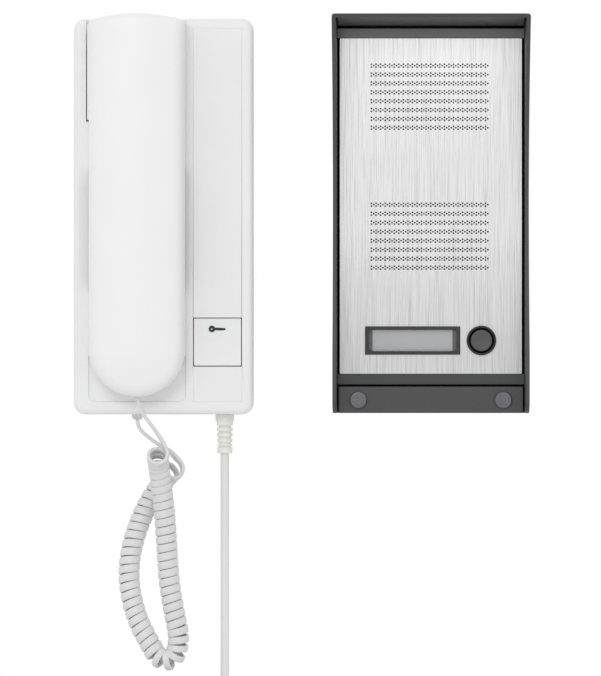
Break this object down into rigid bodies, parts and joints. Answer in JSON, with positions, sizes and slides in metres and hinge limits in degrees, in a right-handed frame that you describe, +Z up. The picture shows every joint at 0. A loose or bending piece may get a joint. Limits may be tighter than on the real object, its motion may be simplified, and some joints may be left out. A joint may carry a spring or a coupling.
{
  "type": "wired intercom",
  "caption": "Wired door intercom: wall handset station with curly cord, door button and mains lead, and an outdoor call panel with sound grilles, name window and call button under a rain hood.",
  "frame": {"origin": "centre of the indoor station's two wall screws, on the wall plane", "axes": "+X to the right seen from the front, +Y into the wall, +Z up; both units stand out from the wall towards -Y"},
  "size_m": [0.2283, 0.055, 0.4573],
  "materials": {
    "white_plastic": "satin moulded",
    "handset_plastic": "satin moulded",
    "strip_plastic": "satin moulded",
    "button_plastic": "satin moulded",
    "inner_plastic": "moulded",
    "cord_pvc": "soft pvc",
    "lead_pvc": "soft pvc",
    "ivory_rubber": "moulded ribs",
    "clear_plastic": "clear",
    "lens_plastic": "clear",
    "hood_plastic": "fine grained",
    "panel_plastic": "fine grained",
    "brushed_sheet": "brushed upright",
    "black_plastic": "satin",
    "steel": "plated",
    "screw_grey": "satin",
    "board": "laminate",
    "iron_core": "laminated",
    "card_paper": "matt",
    "gauze": "woven",
    "silicone": "matt",
    "brass_pins": "nickel plated",
    "tie_plastic": "soft"
  },
  "bodies": {
    "station": {"indoor_back_plate": "white_plastic", "indoor_front_cover": "white_plastic", "indoor_cover_screws": "steel", "upper_side_strip": "strip_plastic", "lower_side_strip": "strip_plastic", "release_button_spring": "steel", "release_switch": "black_plastic", "hook_spring": "steel", "hook_switch": "black_plastic", "indoor_circuit_board": "board", "ringer_speaker": "black_plastic", "mains_transformer": "iron_core", "indoor_terminal_block": "inner_plastic", "handset_cord_plug": "clear_plastic", "handset_cord_curls": "cord_pvc", "handset_cord_upper_tail": "cord_pvc", "handset_cord_lower_tail": "cord_pvc", "lead_strain_relief": "ivory_rubber", "lead_drop": "lead_pvc", "lead_coil": "lead_pvc", "lead_tail": "lead_pvc", "lead_tie": "tie_plastic", "lead_plug_body": "lead_pvc", "lead_plug_pins": "brass_pins", "rain_hood": "hood_plastic", "panel_housing": "panel_plastic", "face_plate": "brushed_sheet", "panel_rear_cover": "black_plastic", "panel_housing_screws": "steel", "lock_bar": "hood_plastic", "lock_bar_screws": "screw_grey", "name_window_frame": "black_plastic", "name_window_lens": "lens_plastic", "name_card": "card_paper", "call_button_ring": "black_plastic", "call_button_dome": "silicone", "call_switch": "black_plastic", "grille_gauze": "gauze", "outdoor_speaker": "black_plastic", "outdoor_circuit_board": "board", "outdoor_microphone": "steel", "outdoor_terminal_block": "inner_plastic"},
    "handset": {"handset_outer_shell": "handset_plastic", "handset_inner_shell": "handset_plastic", "earpiece_capsule": "black_plastic", "mouthpiece_microphone": "steel", "handset_screws": "steel", "handset_cord_grommet": "cord_pvc"},
    "hook_pin": {"hook_plunger": "inner_plastic"},
    "release_key": {"release_button": "button_plastic"},
    "call_key": {"call_button": "panel_plastic"}
  },
  "joints": [
    {"name": "handset_lift", "type": "slide", "parent": "station", "child": "handset", "axis": [0, -0.9659, 0.2588], "range_m": [0, 0.06]},
    {"name": "hook_travel", "type": "slide", "parent": "station", "child": "hook_pin", "axis": [0, -1, 0], "range_m": [0, 0.004], "deforming": ["hook_spring"]},
    {"name": "release_press", "type": "slide", "parent": "station", "child": "release_key", "axis": [0, 1, 0], "range_m": [0, 0.0018], "stiffness_N_per_m": 300, "springref_m": -0.001, "deforming": ["release_button_spring"]},
    {"name": "call_press", "type": "slide", "parent": "station", "child": "call_key", "axis": [0, 1, 0], "range_m": [0, 0.0015], "stiffness_N_per_m": 400, "springref_m": -0.001, "deforming": ["call_button_dome"]}
  ],
  "couplings": [
    {"joint": "hook_travel", "follows": "handset_lift", "ratio": 0.0666}
  ]
}
